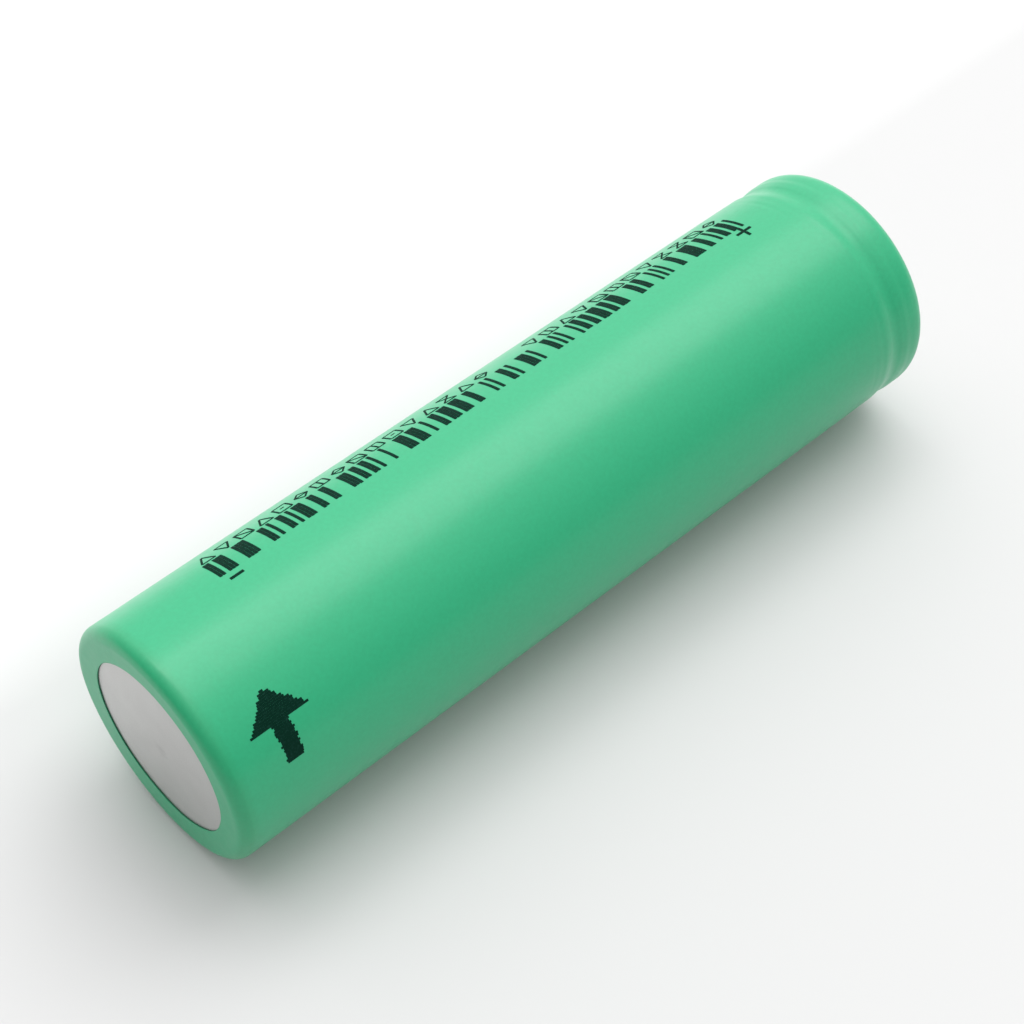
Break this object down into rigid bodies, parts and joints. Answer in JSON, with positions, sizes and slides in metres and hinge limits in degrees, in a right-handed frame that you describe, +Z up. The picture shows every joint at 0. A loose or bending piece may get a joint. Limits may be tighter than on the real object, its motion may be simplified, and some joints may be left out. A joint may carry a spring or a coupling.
{
  "type": "cylindrical battery cell",
  "caption": "Rechargeable cylindrical lithium-ion battery cell in a green shrink sleeve, with a flat vented positive cap and a bare metal negative end.",
  "frame": {"origin": "centre of the negative terminal's contact face, on the cell's axis", "axes": "+X along the cell's axis from the negative to the positive terminal, +Z up with the cell lying on its side"},
  "size_m": [0.0651, 0.0182, 0.0182],
  "materials": {
    "film": "satin",
    "ink": "matte",
    "can_steel": "satin",
    "cap_steel": "satin",
    "white_board": "matte",
    "gasket": "satin",
    "ptc": "satin",
    "aluminium": "satin",
    "copper": "satin",
    "nickel": "satin",
    "pin_steel": "satin",
    "cathode_mix": "matte",
    "anode_mix": "matte",
    "separator": "satin",
    "insulator": "matte",
    "holder": "satin",
    "tape": "satin"
  },
  "bodies": {
    "root": {"sleeve": "film", "insulator_ring": "white_board", "can": "can_steel", "top_cap": "cap_steel", "ptc_ring": "ptc", "vent_disc": "aluminium", "interrupt_plate": "aluminium", "plate_holder": "holder", "crimp_gasket": "gasket", "cathode_tab": "aluminium", "cathode_tab_tape": "tape", "anode_tab": "nickel", "bottom_disc": "insulator", "top_disc": "insulator", "centre_pin": "pin_steel", "end_tape": "tape", "inner_separator": "separator", "outer_separator": "separator", "cathode_foil": "aluminium", "cathode_coating": "cathode_mix", "anode_foil": "copper", "anode_coating": "anode_mix"}
  },
  "joints": []
}
